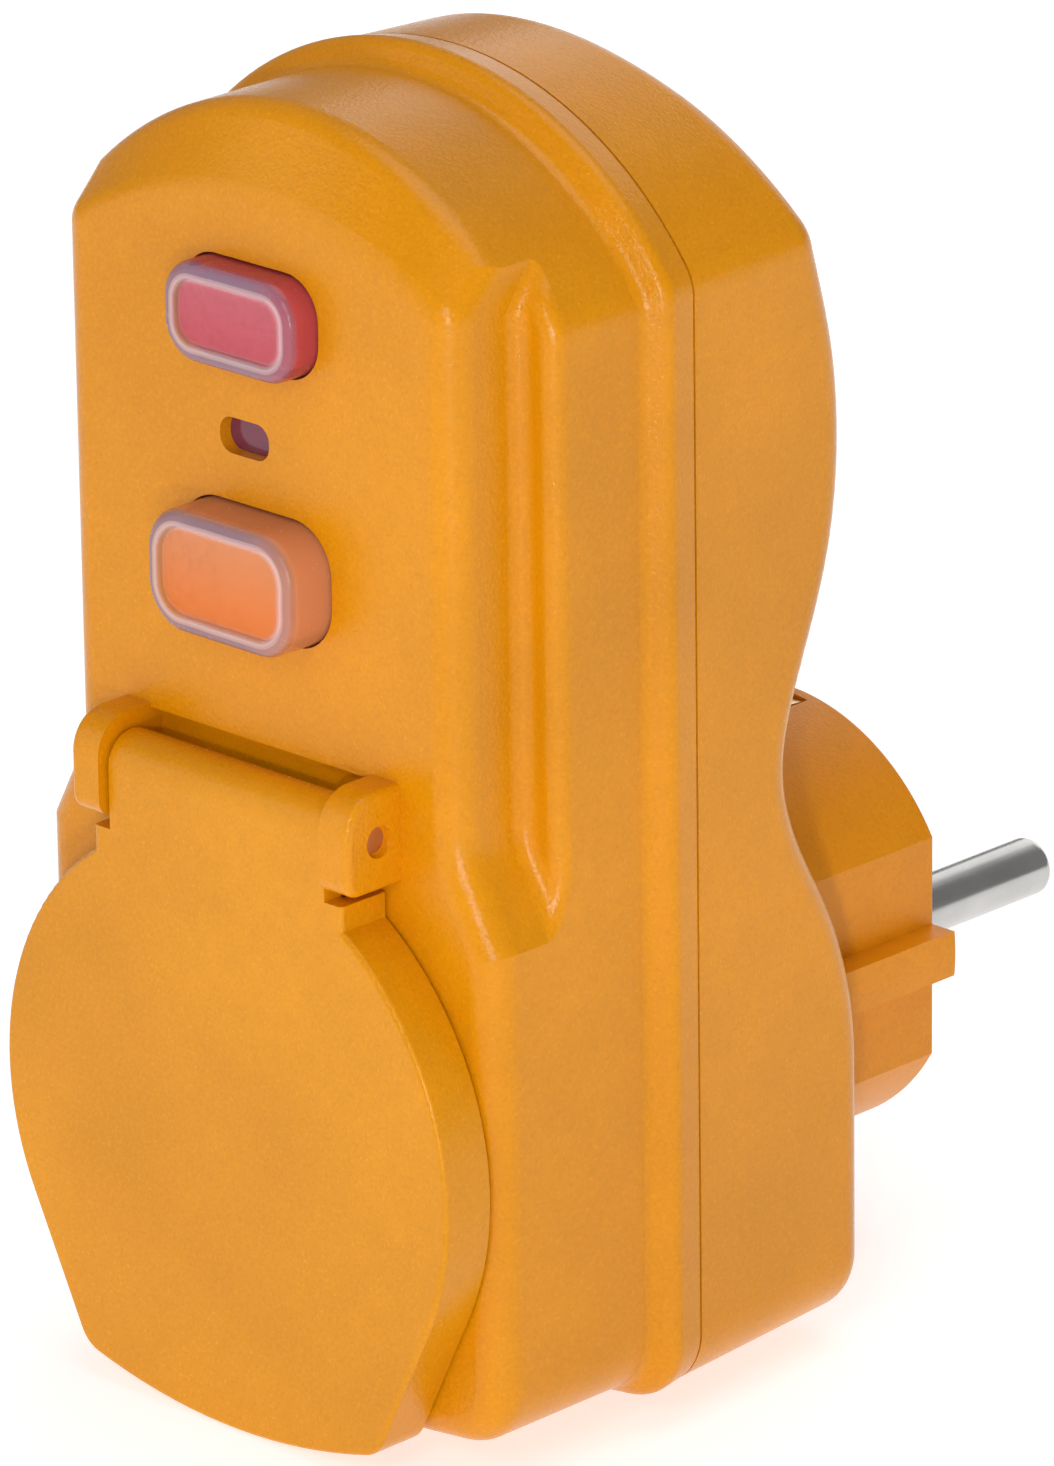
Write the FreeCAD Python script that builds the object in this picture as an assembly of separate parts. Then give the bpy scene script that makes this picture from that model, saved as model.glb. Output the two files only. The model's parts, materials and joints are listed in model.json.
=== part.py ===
import FreeCAD, Part
import math
import os

# Plug-in residual-current adapter: earthed round plug at the back, splash-proof socket at the front.
# Millimetres. The origin lies midway between the plug pins on the plug's engagement face.
# +X is to the right seen from the front, +Y points into the wall, +Z is up.

V = FreeCAD.Vector
GAP = 0.3                      # running gap between bodies that move past each other

# Housing, in planes across Y
FRONT_Y = -59.0                # flat front face
SHOULDER_Y = -54.9             # where the bevel over the crown starts
STEP_Y = -51.8                 # shoulder beside the raised front panel
FLANGE_Y = -41.0               # ridge of the flange beside the parting line
PARTING_Y = -38.0
BACK_Y = -17.7                 # flat back below the finger scoop
WALL = 2.0
BODY_HALF = 24.7               # half width of the front housing
PARTING_GROW = 1.2             # growth from the front housing's outline to the parting line
PARTING_ROUND = 0.15
PARTING_GAP = 0.15             # open line between the two halves, outside their joint face
PARTING_GAP_DEPTH = 0.9
REAR_DRAFT = 1.15              # loss of half width from the parting line to the back
REAR_LOW_RISE = 0.6
PANEL_HALF = 21.0              # half width of the raised front panel
CROWN_Z = 49.0
CROWN_R = 29.8
BOTTOM_Z = -24.7
BOTTOM_R = 165.0
CORNER_R = 5.6
KINK_R = 4.0
FACE_CROWN_Z = 35.6            # flatter arc that ends the front face
FACE_CROWN_R = 37.2
FRONT_ROUND = 2.6
BACK_ROUND = 2.6
STEP_ROUND = 1.5
FLANGE_FOOT_Y = FLANGE_Y - 1.4
FLANGE_ROUND = 1.2
FLANGE_FOOT_ROUND = 1.2
FLARE_TOP = 24.6               # the panel widens to the full width between these heights
FLARE_LOW = 17.6
FLARE_BEND_R = 7.0

# Plug (19 mm pin pitch, 4.8 mm pins)
PIN_PITCH = 19.0
PIN_R = 2.4
PIN_ROOT_R = 2.1
PIN_LENGTH = 19.0
PIN_BACK_Y = -19.5
PIN_END_ROUND = 0.8
PIN_RECESS = 0.25              # depth and width of the shallow recess round each pin
PLUG_R = 18.4
PLUG_FLAT = 15.9
PLUG_RIB = 1.9
PLUG_REAR_Y = -27.0
PLUG_ROUND = 0.4

# Socket (39 mm well, 17.5 mm deep)
SOCKET_Z = -1.5
WELL_R = 19.5
WELL_DEPTH = 17.5
RIM_Y = -61.0
FLOOR_Y = RIM_Y + WELL_DEPTH
FLOOR_BACK_Y = FLOOR_Y + 2.5
INSERT_R = 20.9
COLLAR_R = 22.3
COLLAR_Y = -61.3
PIN_HOLE_R = 2.7
STRIP_HALF = 3.0               # half width and thickness of the earth strips
STRIP_T = 0.6

# Lid and hinge
HINGE_Y = -61.4
HINGE_Z = 25.6
BARREL_R = 2.6
BARREL_HALF = 11.7
EAR_IN = 12.0
EAR_OUT = 15.1
HINGE_PIN_R = 1.05
HINGE_PLAY = 0.05
EAR_ROUND = 0.6
LID_Y = HINGE_Y - BARREL_R
LID_FOOT_Y = -59.3
LID_TOP = 1.8
LID_SKIRT = 1.4
LID_R = 24.2
LID_Z = -1.5
NECK_HALF = 13.5
NECK_TOP = HINGE_Z - 5.0
TAB_HALF = 17.0
TAB_Z = -23.2
TAB_LOW = -27.3
LID_ROUND = 0.4

# Buttons and indicator
TEST_Z = 63.3
TEST_W, TEST_H, TEST_R, TEST_PROUD, TEST_TRAVEL = 14.0, 8.0, 3.2, 2.7, 1.2
RESET_Z = 43.0
RESET_W, RESET_H, RESET_R, RESET_PROUD, RESET_TRAVEL = 15.8, 9.9, 3.8, 4.2, 2.5
CAP_WALL = 0.6
CAP_FACE = 0.5                 # clear front over the coloured core
CAP_RIM = 1.45                 # width and depth of the clear rim round the core's face
CAP_RIM_DEPTH = 1.1
CAP_GAP = 0.18
CAP_ROUND = 0.9
CAP_FLANGE = 1.1               # retaining flange inside the wall
CAP_FLANGE_Y = FRONT_Y + WALL + GAP
CAP_BACK_Y = CAP_FLANGE_Y + 1.2
LAMP_X, LAMP_Z = -1.0, 53.35
LAMP_W, LAMP_H, LAMP_R = 5.3, 2.9, 1.3

# Inside
GUIDE_Y = -48.5                # front face of the button guide plate
GUIDE_T = 1.4
BOARD_Y = -36.2                # front face of the circuit board
BOARD_T = 1.6
CORE_Z = 47.5
SCREW_SEAT_Y = -26.0
TRIP_Y, TRIP_Z, TRIP_BORE_R = -44.0, 29.4, 2.2
LATCH_X, LATCH_Z, LATCH_PIN_R = 9.6, 36.6, 0.8
SCREW_R, SCREW_HEAD_R, SCREW_TIP_Y = 1.5, 2.6, -46.0
WIRE_R = 0.8
SCREWS = [(x, z) for x in (-19.3, 19.3) for z in (-17.0, 58.0)]
BOARD_POSTS = [(x, z) for x in (-16.5, 16.5) for z in (27.0, 48.0)]

# Centre height, width, height, corner radius and projection of each button cover
TEST = (TEST_Z, TEST_W, TEST_H, TEST_R, TEST_PROUD)
RESET = (RESET_Z, RESET_W, RESET_H, RESET_R, RESET_PROUD)


def box(x0, x1, y0, y1, z0, z1):
    return Part.makeBox(x1 - x0, y1 - y0, z1 - z0, V(x0, y0, z0))


def rod_y(radius, x, z, y0, y1):
    low, high = sorted((y0, y1))
    return Part.makeCylinder(radius, high - low, V(x, low, z), V(0, 1, 0))


def rod_x(radius, y, z, x0, x1):
    return Part.makeCylinder(radius, x1 - x0, V(x0, y, z), V(1, 0, 0))


def fuse(shapes):
    whole = shapes[0]
    for shape in shapes[1:]:
        whole = whole.fuse(shape)
    return whole.removeSplitter()


def line(a, b):
    return Part.LineSegment(a, b).toShape()


def arc(a, m, b):
    return Part.Arc(a, m, b).toShape()


def rounded(points, radii):
    """Closed wire through the points in order, with each corner rounded by its radius."""
    bends = []
    for i, (corner, radius) in enumerate(zip(points, radii)):
        before = (points[i - 1] - corner).normalize()
        after = (points[(i + 1) % len(points)] - corner).normalize()
        half = before.getAngle(after) / 2
        inward = (before + after).normalize()
        reach = radius / math.tan(half)
        bends.append((corner + before * reach, corner + inward * (radius / math.sin(half) - radius),
                      corner + after * reach))
    edges = []
    for i, (start, middle, end) in enumerate(bends):
        if radii[i]:
            edges.append(arc(start, middle, end))
        edges.append(line(end, bends[(i + 1) % len(bends)][0]))
    return Part.Wire(edges)


def prism(wire, direction):
    return Part.Face(wire).extrude(direction)


def outline(y, half, crown_r, crown_z, low, kink_r=KINK_R, corner_r=CORNER_R, low_r=BOTTOM_R):
    """Closed wire in the plane at y: straight sides, an arched crown and a slightly crowned bottom."""
    kink_z = crown_z + math.sqrt((crown_r - kink_r) ** 2 - (half - kink_r) ** 2)
    crown_n = V(half - kink_r, 0, kink_z - crown_z).normalize()
    low_centre = low + low_r
    corner_z = low_centre - math.sqrt((low_r - corner_r) ** 2 - (half - corner_r) ** 2)
    low_n = V(half - corner_r, 0, corner_z - low_centre).normalize()

    def at(centre_x, centre_z, radius, n, side):
        return V(side * (centre_x + radius * n.x), y, centre_z + radius * n.z)

    side_n = V(1, 0, 0)
    edges = []
    for side in (1, -1):
        kink_mid = (crown_n + side_n).normalize()
        low_mid = (low_n + side_n).normalize()
        low_end = at(half - corner_r, corner_z, corner_r, low_n, side)
        corner = [low_end, at(half - corner_r, corner_z, corner_r, low_mid, side),
                  V(side * half, y, corner_z)]
        kink = [V(side * half, y, kink_z), at(half - kink_r, kink_z, kink_r, kink_mid, side),
                at(half - kink_r, kink_z, kink_r, crown_n, side)]
        part = [arc(*corner), line(corner[2], kink[0]), arc(*kink)]
        if side == 1:
            edges += part
            crown_end = V(-kink[2].x, y, kink[2].z)
            edges.append(arc(kink[2], V(0, y, crown_z + crown_r), crown_end))
            low_start = low_end
        else:
            edges += reversed(part)
            edges.append(arc(low_end, V(0, y, low), low_start))
    return Part.Wire(Part.__sortEdges__(edges))


def grown(y, grow, crown=0, drop=0):
    """Housing outline offset all round, with extra growth of the crown and the bottom."""
    return outline(y, BODY_HALF + grow, CROWN_R + grow + crown, CROWN_Z, BOTTOM_Z - grow - drop)


def rear_section(y, grow=0):
    """Outline of the drafted rear housing in the plane at y, offset by grow."""
    part = (y - PARTING_Y) / (BACK_Y - PARTING_Y)
    return grown(y, PARTING_GROW - REAR_DRAFT * part + grow, 0.25 + 0.35 * part, -0.3 + REAR_LOW_RISE * part)


def loft(*wires):
    return Part.makeLoft(list(wires), True, True)


def face_edges(shape, y):
    return [e for e in shape.Edges if all(abs(v.Y - y) < 1e-4 for v in e.Vertexes)
            and abs(e.CenterOfMass.y - y) < 1e-4]


def panel_plan(y0, y1):
    """Prism over the raised front panel: straight sides that flare past the full width low down."""
    slope = (FLARE_TOP - FLARE_LOW) / (BODY_HALF - PANEL_HALF)
    far = BODY_HALF + 5
    end = FLARE_TOP - slope * (far - PANEL_HALF)
    right = [V(PANEL_HALF, y0, 90), V(PANEL_HALF, y0, FLARE_TOP), V(far, y0, end), V(far, y0, -60)]
    left = [V(-p.x, p.y, p.z) for p in reversed(right)]
    plan = rounded(right + left, [0, FLARE_BEND_R, 0, 0, 0, 0, FLARE_BEND_R, 0])
    return prism(plan, V(0, y1 - y0, 0))


def front_panel():
    """Raised front with a bevel over the crown, its outer edges rounded."""
    face = outline(FRONT_Y, BODY_HALF, FACE_CROWN_R, FACE_CROWN_Z, BOTTOM_Z)
    nose = fuse([loft(grown(STEP_Y + 2, 0), grown(SHOULDER_Y, 0)),
                 loft(grown(SHOULDER_Y, 0), face)])
    panel = nose.common(panel_plan(FRONT_Y - 1, STEP_Y + 2)).removeSplitter()
    corners = [e for e in panel.Edges if e.CenterOfMass.z > 60 and e.CenterOfMass.y < SHOULDER_Y - 0.1
               and all(abs(abs(v.X) - PANEL_HALF) < 1e-3 for v in e.Vertexes)
               and abs(e.Vertexes[0].Y - e.Vertexes[-1].Y) > 1]
    shoulder = [e for e in face_edges(panel, SHOULDER_Y) if e.CenterOfMass.z > 60]
    return panel.makeFillet(FRONT_ROUND, face_edges(panel, FRONT_Y) + corners + shoulder)


def front_outer():
    tier = loft(grown(PARTING_Y, 0), grown(STEP_Y, 0))
    body = fuse([tier, front_panel()])
    steps = sorted(face_edges(body, STEP_Y), key=lambda e: abs(e.CenterOfMass.x))
    return body.makeFillet(STEP_ROUND, steps)


def flange():
    edge = loft(rear_section(PARTING_Y), grown(FLANGE_Y, 1.7, 0.25, -0.6), grown(FLANGE_FOOT_Y, 0))
    edge = edge.makeFillet(PARTING_ROUND, face_edges(edge, PARTING_Y))
    return edge.makeFillet(FLANGE_ROUND, face_edges(edge, FLANGE_Y))


def ear(side):
    """Hinge ear with a small lower corner and a large upper one, its outer edges softened."""
    k = math.sqrt(0.5)
    x, front, back = EAR_IN, HINGE_Y - 3.4, FRONT_Y + 1.0
    low, high, r1, r2 = HINGE_Z - 4.0, HINGE_Z + 4.0, 1.4, 3.2
    a, b = V(x, back, low), V(x, front + r1, low)
    c, d = V(x, front, low + r1), V(x, front, high - r2)
    e, f = V(x, front + r2, high), V(x, back, high)
    wire = Part.Wire([line(a, b), arc(b, V(x, front + r1 - k * r1, low + r1 - k * r1), c), line(c, d),
                      arc(d, V(x, front + r2 - k * r2, high - r2 + k * r2), e), line(e, f), line(f, a)])
    solid = prism(wire, V(EAR_OUT - EAR_IN, 0, 0))
    outer = [g for g in solid.Edges if all(abs(v.X - EAR_OUT) < 1e-4 for v in g.Vertexes)
             and g.CenterOfMass.y < back - 0.1]
    solid = solid.makeFillet(EAR_ROUND, outer)
    solid = solid.cut(rod_x(HINGE_PIN_R, HINGE_Y, HINGE_Z, EAR_IN - 1, EAR_OUT + 1))
    solid = solid.cut(rod_x(HINGE_PIN_R + 0.25, HINGE_Y, HINGE_Z, EAR_OUT - 0.6, EAR_OUT + 1))
    return solid if side > 0 else solid.mirror(V(0, 0, 0), V(1, 0, 0))


def slot_prism(x, z, width, height, radius, y0, y1):
    """Rounded rectangle across Y between two planes."""
    solid = box(x - width / 2, x + width / 2, y0, y1, z - height / 2, z + height / 2)
    corners = [e for e in solid.Edges if abs(e.Vertexes[0].Y - e.Vertexes[1].Y) > 1e-6]
    return solid.makeFillet(radius, corners)


def plug_section(grow, y0, y1):
    """Round plug body with a flat and a key rib on each side."""
    disc = rod_y(PLUG_R + grow, 0, 0, y0, y1)
    flat, rib = PLUG_FLAT + grow, PLUG_RIB + grow
    middle = disc.common(box(-flat, flat, y0, y1, -30, 30))
    return fuse([middle, disc.common(box(-30, 30, y0, y1, -rib, rib))])


def front_cavity():
    inner = FRONT_Y + WALL
    deep = loft(grown(PARTING_Y + 1, -WALL), grown(STEP_Y + WALL, -WALL))
    low = prism(grown(inner, -WALL), V(0, STEP_Y + WALL - inner + 0.01, 0))
    low = low.common(box(-30, 30, inner - 1, PARTING_Y, -30, 13))
    half = PANEL_HALF - WALL
    middle = box(-half, half, inner + 1.1, STEP_Y + WALL, 12.9, 31.1)
    high = prism(outline(inner, half, 33.0, 36.0, 31.0), V(0, STEP_Y + WALL - inner + 0.01, 0))
    return fuse([deep, low, middle, high])


def front_housing():
    body = fuse([front_outer(), flange()])
    body = body.makeFillet(FLANGE_FOOT_ROUND, face_edges(body, FLANGE_FOOT_Y))
    shell = body.cut(front_cavity())
    shell = fuse([shell, rod_y(COLLAR_R, 0, SOCKET_Z, COLLAR_Y, FRONT_Y + 0.5)])
    shell = shell.cut(rod_y(INSERT_R, 0, SOCKET_Z, COLLAR_Y - 1, STEP_Y + 3))
    shell = shell.cut(box(-EAR_IN, EAR_IN, FRONT_Y - 0.1, FRONT_Y + 1.1, HINGE_Z - 4.6, HINGE_Z + 3.6))
    posts = [rod_y(2.2, x, z, GUIDE_Y, FRONT_Y + WALL - 0.01) for x in (-14.3, 14.3) for z in (37.5, 54.0)]
    bosses = [rod_y(3.5, x, z, FRONT_Y + WALL if z < 0 else STEP_Y + WALL, PARTING_Y) for x, z in SCREWS]
    shell = fuse([shell, ear(1), ear(-1)] + posts + bosses)
    for x, z in SCREWS:
        shell = shell.cut(rod_y(SCREW_R, x, z, SCREW_TIP_Y, PARTING_Y + 1))
    for z, w, h, r, _ in (TEST, RESET):
        w, h, r = w + 2 * CAP_GAP, h + 2 * CAP_GAP, r + CAP_GAP
        shell = shell.cut(slot_prism(0, z, w, h, r, FRONT_Y - 1, FRONT_Y + 3))
    return shell.cut(slot_prism(LAMP_X, LAMP_Z, LAMP_W, LAMP_H, LAMP_R, FRONT_Y - 1, FRONT_Y + 3))


def back_profile(shift):
    """Region in front of the back surface: flat below, a finger scoop, then a domed upper back."""
    points = [(-17.7, -2), (-18.6, 5), (-21.0, 11.5), (-24.8, 18.5), (-26.3, 24.5), (-24.6, 31),
              (-21.2, 39.5), (-19.7, 49), (-20.3, 57), (-22.4, 65), (-25.1, 74), (-28.0, 81.5)]
    knots = [V(-30, y + shift, z) for y, z in points]
    curve = Part.BSplineCurve()
    curve.interpolate(knots, InitialTangent=V(0, 0, 1), FinalTangent=V(0, -0.35, 1))
    low = V(-30, BACK_Y + shift, -40)
    ends = [V(-30, -45, -40), V(-30, -45, 81.5)]
    wire = Part.Wire([line(low, knots[0]), curve.toShape(), line(knots[-1], ends[1]),
                      line(ends[1], ends[0]), line(ends[0], low)])
    return prism(wire, V(60, 0, 0))


def rear_housing():
    drafted = loft(rear_section(PARTING_Y), rear_section(-14.0))
    drafted = drafted.makeFillet(PARTING_ROUND, face_edges(drafted, PARTING_Y))
    shell = drafted.common(back_profile(0))
    back = [e for e in shell.Edges if min(v.Y for v in e.Vertexes) > PARTING_Y + 2]
    shell = shell.makeFillet(BACK_ROUND, back)
    cavity = loft(rear_section(PARTING_Y - 1, -WALL), rear_section(-14.0, -WALL)).common(back_profile(-WALL))
    shell = shell.cut(cavity)
    bosses = [rod_y(4.0, x, z, PARTING_Y, -20.5) for x, z in SCREWS]
    posts = [rod_y(2.5, x, z, BOARD_Y + BOARD_T, -21.0 if z > 30 else -27.5) for x, z in BOARD_POSTS]
    shell = fuse([shell] + bosses + posts)
    for x, z in SCREWS:
        shell = shell.cut(rod_y(1.7, x, z, PARTING_Y - 1, -10))
        shell = shell.cut(rod_y(2.8, x, z, SCREW_SEAT_Y, -10))
    for x, z in BOARD_POSTS:
        shell = shell.cut(rod_y(0.9, x, z, BOARD_Y, -31.0))
    rebate = prism(rear_section(PARTING_Y, 1.0), V(0, PARTING_GAP, 0))
    rebate = rebate.cut(prism(rear_section(PARTING_Y, -PARTING_GAP_DEPTH), V(0, PARTING_GAP, 0)))
    return shell.cut(rebate).cut(plug_section(0.15, -30, 0))


def housing_seal():
    ring = prism(rear_section(PARTING_Y, -WALL - 0.1), V(0, 1.2, 0))
    ring = ring.cut(prism(rear_section(PARTING_Y - 1, -WALL - 1.1), V(0, 4, 0)))
    for x, z in SCREWS:
        ring = ring.cut(rod_y(4.1, x, z, PARTING_Y - 1, -30))
    return ring


def screw_y(x, z, head_y, head_r, head_t, shaft_r, tip_y):
    """Cross-head screw driven along Y: towards -Y when the tip lies in front of the head."""
    way = 1 if head_y > tip_y else -1
    low, high = sorted((head_y, head_y + way * head_t))
    screw = rod_y(head_r, x, z, low, high)
    screw = fuse([screw, rod_y(shaft_r, x, z, min(tip_y, head_y), max(tip_y, head_y))])
    top = head_y + way * head_t
    cut0, cut1 = sorted((top - way * head_t * 0.6, top + way))
    w, l = head_r * 0.14, head_r * 0.62
    return screw.cut(box(x - l, x + l, cut0, cut1, z - w, z + w)).cut(
        box(x - w, x + w, cut0, cut1, z - l, z + l))


def housing_screws():
    return Part.makeCompound([screw_y(x, z, SCREW_SEAT_Y, SCREW_HEAD_R, 1.8, SCREW_R, SCREW_TIP_Y)
                              for x, z in SCREWS])


def plug_body():
    body = plug_section(0, PLUG_REAR_Y, 0)
    body = body.makeFillet(PLUG_ROUND, face_edges(body, 0))
    body = body.cut(rod_y(15.0, 0, 0, PLUG_REAR_Y - 1, -14.0))
    for x in (-PIN_PITCH / 2, PIN_PITCH / 2):
        body = fuse([body, rod_y(3.4, x, 0, -17.0, -13.9)]).cut(rod_y(PIN_ROOT_R, x, 0, -20, 1))
        body = body.cut(rod_y(PIN_R + PIN_RECESS, x, 0, -PIN_RECESS, 1))
    for side in (-1, 1):
        low, high = sorted((side * 17.3, side * 20))
        body = body.cut(box(-3.3, 3.3, PLUG_REAR_Y - 1, -1.2, low, high))
    return body


def plug_pin(side):
    """Round pin with a thinner root inside the plug body."""
    x = side * PIN_PITCH / 2
    pin = rod_y(PIN_R, x, 0, 0, PIN_LENGTH)
    pin = pin.makeFillet(PIN_END_ROUND, face_edges(pin, PIN_LENGTH))
    return fuse([pin, rod_y(PIN_ROOT_R, x, 0, PIN_BACK_Y, 0)])


def plug_earth_contact(side):
    """Sprung earth strip let into the plug body, bowed outwards in the middle."""
    z0, z1 = side * 17.4, side * 18.3
    x, back, front = -STRIP_HALF, -22.8, -1.5
    t = side * STRIP_T
    mid = V(x, -12.0, z1 + t * 0.1)
    outer = Part.Wire([arc(V(x, back, z0 + t), mid, V(x, front, z0 + t)),
                       line(V(x, front, z0 + t), V(x, front, z0)),
                       arc(V(x, front, z0), mid - V(0, 0, t), V(x, back, z0)),
                       line(V(x, back, z0), V(x, back, z0 + t))])
    low, high = sorted((z0, z0 + t))
    return fuse([prism(outer, V(2 * STRIP_HALF, 0, 0)), box(x, -x, -30.0, back, low, high)])


def socket_insert():
    """Round well with four guide keys, pin holes, and slots for the earth clips."""
    cup = rod_y(INSERT_R, 0, SOCKET_Z, RIM_Y, FLOOR_BACK_Y)
    cup = cup.cut(rod_y(WELL_R, 0, SOCKET_Z, RIM_Y - 1, FLOOR_Y))
    ring = rod_y(WELL_R + 0.3, 0, SOCKET_Z, RIM_Y + 2.0, FLOOR_Y)
    for sx in (-1, 1):
        for sz in (-1, 1):
            x0, x1 = sorted((sx * 16.5, sx * 20))
            z0, z1 = sorted((SOCKET_Z + sz * 2.3, SOCKET_Z + sz * 5.2))
            cup = cup.fuse(ring.common(box(x0, x1, RIM_Y, FLOOR_Y + 0.1, z0, z1)))
    for x in (-PIN_PITCH / 2, PIN_PITCH / 2):
        cup = cup.cut(rod_y(PIN_HOLE_R, x, SOCKET_Z, FLOOR_Y - 1, FLOOR_BACK_Y + 1))
    for side in (-1, 1):
        z0, z1 = sorted((SOCKET_Z + side * 17.0, SOCKET_Z + side * 19.3))
        cup = cup.cut(box(-3.6, 3.6, FLOOR_Y - 0.5, FLOOR_BACK_Y + 1, z0, z1))
    rails = [box(6.3, 9.7, FLOOR_BACK_Y - 0.01, -37.9, -17.2, -16.2)]
    for side in (-1, 1):
        x0, x1, x2 = side * 11.9, side * 12.9, side * 14.1
        rails.append(box(min(x1, x2), max(x1, x2), FLOOR_BACK_Y - 0.01, -38.6, -11.5, 3.0))
        rails.append(box(min(x0, x2), max(x0, x2), -39.4, -38.6, -11.5, 3.0))
    return fuse([cup] + rails)


def socket_earth_clip(side):
    """Bent strip that stands in the well, with its tail through the floor."""
    def z(depth):
        return SOCKET_Z + side * depth
    path = [(-57.5, 18.9), (-55.5, 17.3), (-52.5, 17.3), (-47.0, 18.9), (-39.2, 18.9)]
    outer = [V(-STRIP_HALF, y, z(d)) for y, d in path]
    inner = [V(-STRIP_HALF, y, z(d - STRIP_T)) for y, d in reversed(path)]
    return prism(Part.makePolygon(outer + inner + outer[:1]), V(2 * STRIP_HALF, 0, 0))


def earth_bridge():
    """Strap behind the socket floor from clip to clip, with two straps back to the plug's strips."""
    strap = box(-STRIP_HALF, STRIP_HALF, -39.2, -38.6, SOCKET_Z - 19.5, SOCKET_Z + 18.9)
    tails = [box(-STRIP_HALF, STRIP_HALF, -38.61, -27.2, z, z + STRIP_T) for z in (16.8, -17.4)]
    return fuse([strap] + tails)


def socket_contact(side):
    """Split sleeve that grips a plug pin, with a solder tail."""
    x = side * PIN_PITCH / 2
    sleeve = rod_y(3.2, x, SOCKET_Z, -37.6, -26.5).cut(rod_y(2.35, x, SOCKET_Z, -38, -26))
    sleeve = sleeve.cut(box(x - 0.4, x + 0.4, -37.7, -29.0, SOCKET_Z - 4, SOCKET_Z))
    z = SOCKET_Z + 3.05
    return fuse([sleeve, box(x - 1.5, x + 1.5, -36.0, -32.0, z, z + 1.2)])


def wire_run(points, radius):
    """Round conductor through the points, with ball corners."""
    pieces = []
    for a, b in zip(points, points[1:]):
        a, b = V(*a), V(*b)
        pieces.append(Part.makeCylinder(radius, (b - a).Length, a, b - a))
    pieces += [Part.makeSphere(radius, V(*p)) for p in points[1:-1]]
    return fuse(pieces)


def supply_conductor(side):
    x, near = side * PIN_PITCH / 2, side * 1.6
    return wire_run([(x, PIN_BACK_Y, 0), (x, -24.6, 0), (x, -24.6, 9.5), (x, -30.4, 9.5),
                     (x, -30.4, 34.5), (near, -24.8, 40.0), (near, -24.8, CORE_Z),
                     (near, BOARD_Y + BOARD_T, CORE_Z)], WIRE_R)


def outlet_conductor(side):
    x = side * PIN_PITCH / 2
    z = SOCKET_Z + 4.25
    y = BOARD_Y + BOARD_T + 0.9
    return wire_run([(x, y, z), (x, y, 15.0), (side * 12.0, y, 19.0), (side * 12.0, y, 24.0),
                     (side * 12.0, y - 0.9, 24.0)], WIRE_R)


def lid_wire(y, inset=0.0):
    """Closed outline of the lid cap below the hinge: neck, round cap, taper and thumb tab."""
    r, neck = LID_R - inset, NECK_HALF - inset
    shoulder = LID_Z + math.sqrt(r * r - neck * neck)
    corner = 3.0 - inset * 0.5
    cx, cz = TAB_HALF - 3.0 + 0.5 * inset - inset, TAB_Z + 2.0 + inset * 0.4
    dist, ang = math.hypot(cx, cz - LID_Z), math.atan2(cz - LID_Z, cx)
    lean = ang + math.acos((r - corner) / dist)
    n = V(math.cos(lean), 0, math.sin(lean))
    touch = V(r * n.x, y, LID_Z + r * n.z)
    end = V(cx + corner * n.x, y, cz + corner * n.z)
    low_r = 56.0
    low_c = TAB_LOW + inset + low_r
    foot_n = V(cx, 0, cz - low_c).normalize()
    foot = V(cx + corner * foot_n.x, y, cz + corner * foot_n.z)
    low_mid = V(0, y, low_c - math.hypot(foot.x, foot.z - low_c))
    mid_n = (n + foot_n).normalize()
    round_mid = V(cx + corner * mid_n.x, y, cz + corner * mid_n.z)
    side_mid = V(r, y, LID_Z)

    def flip(p):
        return V(-p.x, p.y, p.z)
    top, low = V(neck, y, NECK_TOP), V(neck, y, shoulder)
    return Part.Wire([
        line(flip(top), top), line(top, low), arc(low, side_mid, touch), line(touch, end),
        arc(end, round_mid, foot), arc(foot, low_mid, flip(foot)),
        arc(flip(foot), flip(round_mid), flip(end)), line(flip(end), flip(touch)),
        arc(flip(touch), flip(side_mid), flip(low)), line(flip(low), flip(top))])


def lid():
    cap = prism(lid_wire(LID_Y), V(0, LID_FOOT_Y - LID_Y, 0))
    rim = [e for e in face_edges(cap, LID_Y) if e.CenterOfMass.z < NECK_TOP - 0.1]
    cap = cap.makeFillet(LID_ROUND, rim)
    under = LID_Y + LID_TOP
    cap = cap.cut(prism(lid_wire(under, LID_SKIRT), V(0, 6, 0)))
    cap = cap.cut(box(-12.0, 12.0, under, -50, 12.0, 30))
    neck = box(-BARREL_HALF, BARREL_HALF, LID_Y, under, NECK_TOP - 0.01, HINGE_Z)
    barrel = rod_x(BARREL_R, HINGE_Y, HINGE_Z, -BARREL_HALF, BARREL_HALF)
    whole = fuse([cap, neck, barrel])
    whole = whole.cut(rod_x(HINGE_PIN_R + HINGE_PLAY, HINGE_Y, HINGE_Z, -20, 20))
    whole = whole.cut(rod_x(2.15, HINGE_Y, HINGE_Z, -4.5, 4.5))
    return whole.cut(box(-4.5, 4.5, HINGE_Y, -58, HINGE_Z - 1.2, HINGE_Z + 1.2))


def lid_gasket():
    under = LID_Y + LID_TOP
    return rod_y(22.2, 0, SOCKET_Z, under, under + 0.6).cut(rod_y(21.2, 0, SOCKET_Z, under - 1, under + 2))


def coil(radius, wire_r, pitch, turns, centre, direction):
    """Helical spring along a direction, from its first turn's centre."""
    helix = Part.makeHelix(pitch, pitch * turns, radius)
    section = Part.Wire(Part.makeCircle(wire_r, V(radius, 0, 0), V(0, 2 * math.pi * radius, pitch)))
    spring = Part.Wire(helix).makePipeShell([section], True, False)
    turn = FreeCAD.Rotation(V(0, 0, 1), V(*direction))
    spring.Placement = FreeCAD.Placement(V(*centre), turn)
    return spring


def lid_spring():
    return coil(1.55, 0.25, 0.62, 12, (-3.72, HINGE_Y, HINGE_Z), (1, 0, 0))


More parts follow.
